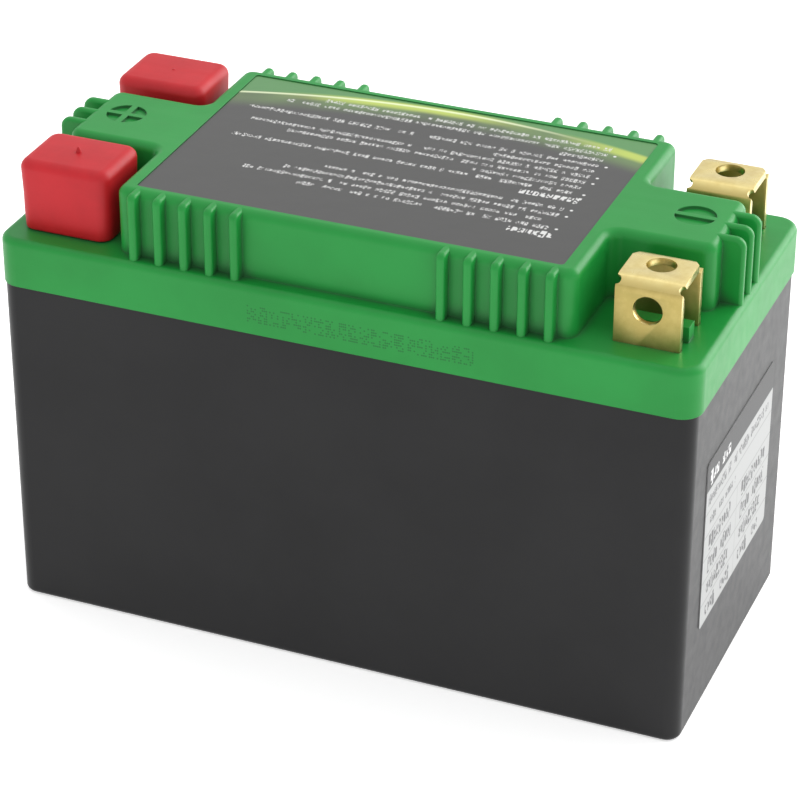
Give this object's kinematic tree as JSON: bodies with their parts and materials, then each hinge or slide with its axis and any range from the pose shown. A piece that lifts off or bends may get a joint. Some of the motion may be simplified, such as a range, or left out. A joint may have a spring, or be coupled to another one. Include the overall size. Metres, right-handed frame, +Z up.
{
  "type": "motorcycle battery",
  "caption": "Sealed box-shaped motorcycle battery with a ribbed plug-on lid, folded strap terminals at the corners and soft lift-off boots on one pole.",
  "frame": {"origin": "middle of the base, on the surface the battery stands on", "axes": "+Z up, +X along the long side towards the negative terminals, -Y towards the long side that is seen"},
  "size_m": [0.15, 0.071, 0.1023],
  "materials": {
    "case_plastic": "fine satin moulded plastic",
    "lid_plastic": "satin moulded plastic, green",
    "boot_rubber": "soft dipped vinyl, red",
    "terminal_brass": "bright rolled brass",
    "label_film": "glossy printed film",
    "label_paper": "printed paper label",
    "pouch_film": "satin aluminium laminate",
    "tab_metal": "rolled nickel-plated tab",
    "link_copper": "plain copper",
    "insulator": "insulating sheet",
    "band_tape": "polyimide tape",
    "foam": "closed-cell foam",
    "board_laminate": "circuit board laminate",
    "chip_resin": "moulded component bodies",
    "screw_steel": "zinc-plated steel"
  },
  "bodies": {
    "housing": {"case": "case_plastic", "lid": "lid_plastic", "top_label": "label_film", "side_label": "label_paper", "negative_terminal_front": "terminal_brass", "negative_terminal_rear": "terminal_brass", "positive_terminal_front": "terminal_brass", "positive_terminal_rear": "terminal_brass", "cell_1": "pouch_film", "cell_2": "pouch_film", "cell_3": "pouch_film", "cell_4": "pouch_film", "positive_tabs": "tab_metal", "negative_tabs": "tab_metal", "cell_separator_1": "insulator", "cell_separator_2": "insulator", "cell_separator_3": "insulator", "pack_band_left": "band_tape", "pack_band_right": "band_tape", "link_tray": "insulator", "series_link_1": "link_copper", "series_link_2": "link_copper", "series_link_3": "link_copper", "positive_link": "link_copper", "negative_return_bar": "link_copper", "return_bar_sleeve": "insulator", "positive_collector_bar": "link_copper", "negative_collector_bar": "link_copper", "balance_board": "board_laminate", "board_screws": "screw_steel", "sense_pins": "tab_metal", "bleed_resistors": "chip_resin", "balance_chips": "chip_resin", "base_pad": "foam", "front_pad": "foam", "rear_pad": "foam", "left_pad": "foam", "right_pad": "foam"},
    "positive_boot_front": {"positive_boot_front": "boot_rubber"},
    "positive_boot_rear": {"positive_boot_rear": "boot_rubber"}
  },
  "joints": [
    {"name": "positive_boot_front_lift", "type": "slide", "parent": "housing", "child": "positive_boot_front", "axis": [0, 0, 1], "range_m": [0, 0.04]},
    {"name": "positive_boot_rear_lift", "type": "slide", "parent": "housing", "child": "positive_boot_rear", "axis": [0, 0, 1], "range_m": [0, 0.04]}
  ]
}
